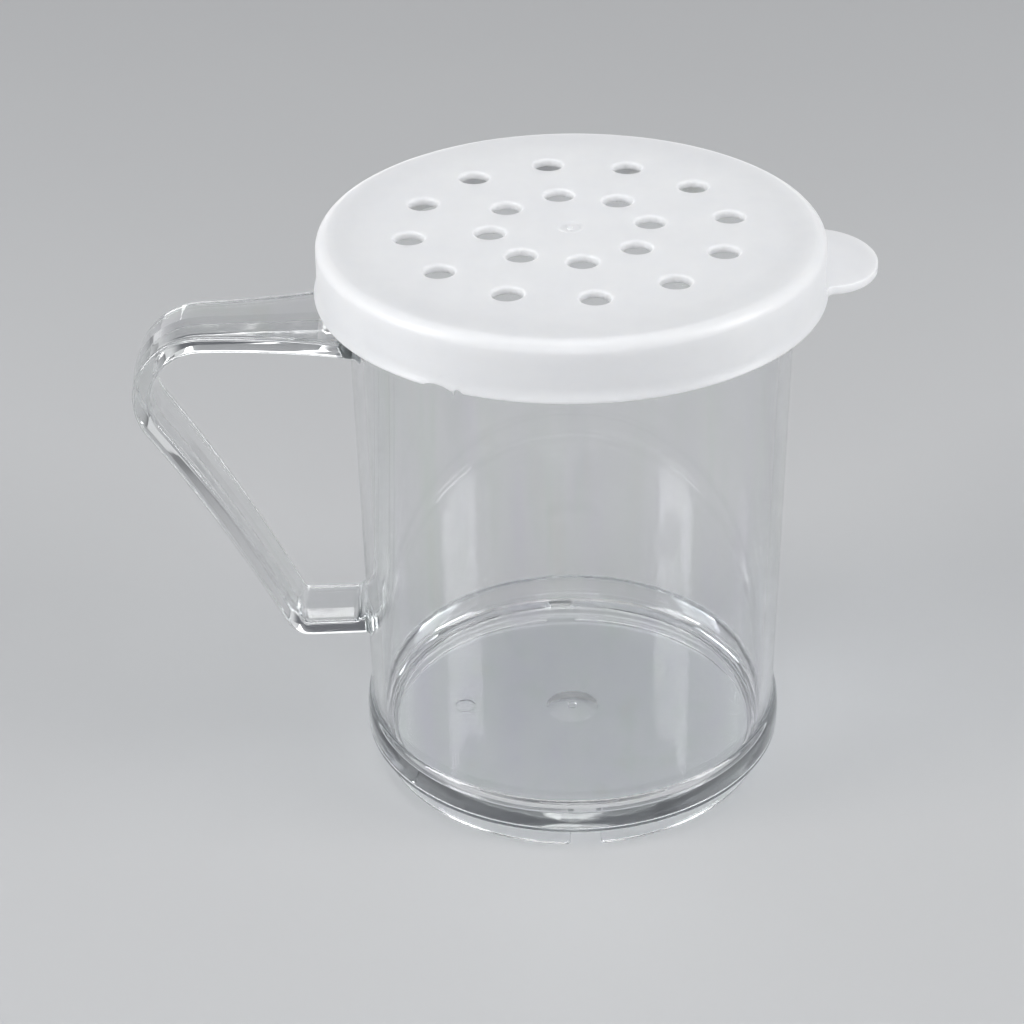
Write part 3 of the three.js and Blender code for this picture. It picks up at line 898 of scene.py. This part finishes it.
plastic = add_node(tree, "ShaderNodeBsdfPrincipled", {
    "Base Color": cloud_tints.outputs["Color"], "Roughness": satin.outputs["Result"],
    "Normal": relief.outputs["Normal"], "IOR": 1.51, "Subsurface Weight": 1.0,
    "Subsurface Radius": (1.0, 0.97, 0.93), "Subsurface Scale": 5 * millimetre,
})
tree.links.new(plastic.outputs["BSDF"], output.inputs["Surface"])

piercing = lid.modifiers.new("piercing", "NODES")
piercing.node_group = sifter
sifter_values = {
    "Cutter": hole_cutter,
    "Material": milky,
    "Outer Count": 12,
    "Inner Count": 8,
    "Outer Radius": skirt_radius * outer_ring_share * millimetre,
    "Inner Radius": skirt_radius * inner_ring_share * millimetre,
}
for socket in sifter.interface.items_tree:
    if socket.in_out == "INPUT" and socket.name in sifter_values:
        piercing[socket.identifier] = sifter_values[socket.name]
settle(lid, turn=lid_turn, height=whole_height - skirt_height)
for tool in (tab, nick, spike, hole_cutter):
    bpy.data.objects.remove(tool)

lid.data.materials.clear()
lid.data.materials.append(milky)
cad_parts["lid"].data.materials.clear()
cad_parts["lid"].data.materials.append(milky)
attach(lid, "lid")
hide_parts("lid")


# Studio. A pale matt floor, tall soft boxes to the left and right of the jar, softer ones
# overhead, in front and low behind it, and a pale surround with a dark belt half-way up, which
# draws the edges of the clear plastic.
bpy.ops.mesh.primitive_plane_add(size=6, location=(0, 0, 0))
floor = bpy.context.object
floor.name = "floor"
paper = bpy.data.materials.new("pale_floor")
paper.use_nodes = True
tree = paper.node_tree
paper_surface = tree.nodes["Principled BSDF"]
grain_place = tree.nodes.new("ShaderNodeTexCoord")
paper_grain = add_node(tree, "ShaderNodeTexNoise", {
    "Vector": grain_place.outputs["Object"], "Scale": 6.0, "Detail": 3.0,
})
paper_tints = add_node(tree, "ShaderNodeValToRGB", {"Fac": paper_grain.outputs["Fac"]})
paper_tints.color_ramp.elements[0].color = (0.51, 0.515, 0.525, 1)
paper_tints.color_ramp.elements[1].color = (0.54, 0.545, 0.55, 1)
tree.links.new(paper_tints.outputs["Color"], paper_surface.inputs["Base Color"])
paper_surface.inputs["Roughness"].default_value = 0.95
paper_surface.inputs["Specular IOR Level"].default_value = 0.15
floor.data.materials.append(paper)


def soft_box(name, place, aim, width, height, power):
    """Area lamp at a place, turned towards another."""
    lamp_data = bpy.data.lights.new(name, "AREA")
    lamp_data.shape = "RECTANGLE"
    lamp_data.size = width
    lamp_data.size_y = height
    lamp_data.energy = power
    lamp = bpy.data.objects.new(name, lamp_data)
    scene.collection.objects.link(lamp)
    lamp.location = place
    lamp.rotation_euler = (Vector(aim) - Vector(place)).to_track_quat("-Z", "Y").to_euler()


soft_box("left_box", (-0.80, -0.25, 0.42), (0, 0, 0.05), 0.36, 0.62, 5.6)
soft_box("right_box", (0.80, -0.25, 0.42), (0, 0, 0.05), 0.36, 0.62, 4.6)
soft_box("top_box", (0.0, -0.15, 0.95), (0, 0, 0.05), 0.6, 0.4, 1.8)
soft_box("front_box", (0.0, -0.95, 0.35), (0, 0, 0.06), 0.7, 0.3, 1.35)
soft_box("back_box", (0.0, 1.10, 0.22), (0, 0, 0.06), 0.8, 0.25, 1.4)

world = bpy.data.worlds.new("surround")
scene.world = world
world.use_nodes = True
tree = world.node_tree
tree.nodes.clear()
output = tree.nodes.new("ShaderNodeOutputWorld")
direction = tree.nodes.new("ShaderNodeTexCoord")
axes = add_node(tree, "ShaderNodeSeparateXYZ", {"Vector": direction.outputs["Generated"]})
gradient = add_node(tree, "ShaderNodeValToRGB", {"Fac": axes.outputs["Z"]})
gradient.color_ramp.elements[0].position = 0.15
gradient.color_ramp.elements[0].color = (0.72, 0.73, 0.74, 1)
gradient.color_ramp.elements[1].position = 0.85
gradient.color_ramp.elements[1].color = (0.60, 0.605, 0.61, 1)
for at in (0.38, 0.62):
    gradient.color_ramp.elements.new(at).color = (0.12, 0.125, 0.14, 1)
seen = add_node(tree, "ShaderNodeBackground", {"Color": gradient.outputs["Color"]})
fill = add_node(tree, "ShaderNodeBackground", {"Color": (0.95, 0.97, 1, 1), "Strength": 0.34})
rays = tree.nodes.new("ShaderNodeLightPath")
direct = calculate(
    tree, "MAXIMUM", rays.outputs["Is Camera Ray"], rays.outputs["Is Glossy Ray"]
)
both = add_node(tree, "ShaderNodeMixShader", {
    0: calculate(tree, "MAXIMUM", direct, rays.outputs["Is Transmission Ray"]),
    1: fill.outputs[0], 2: seen.outputs[0],
})
tree.links.new(both.outputs[0], output.inputs["Surface"])
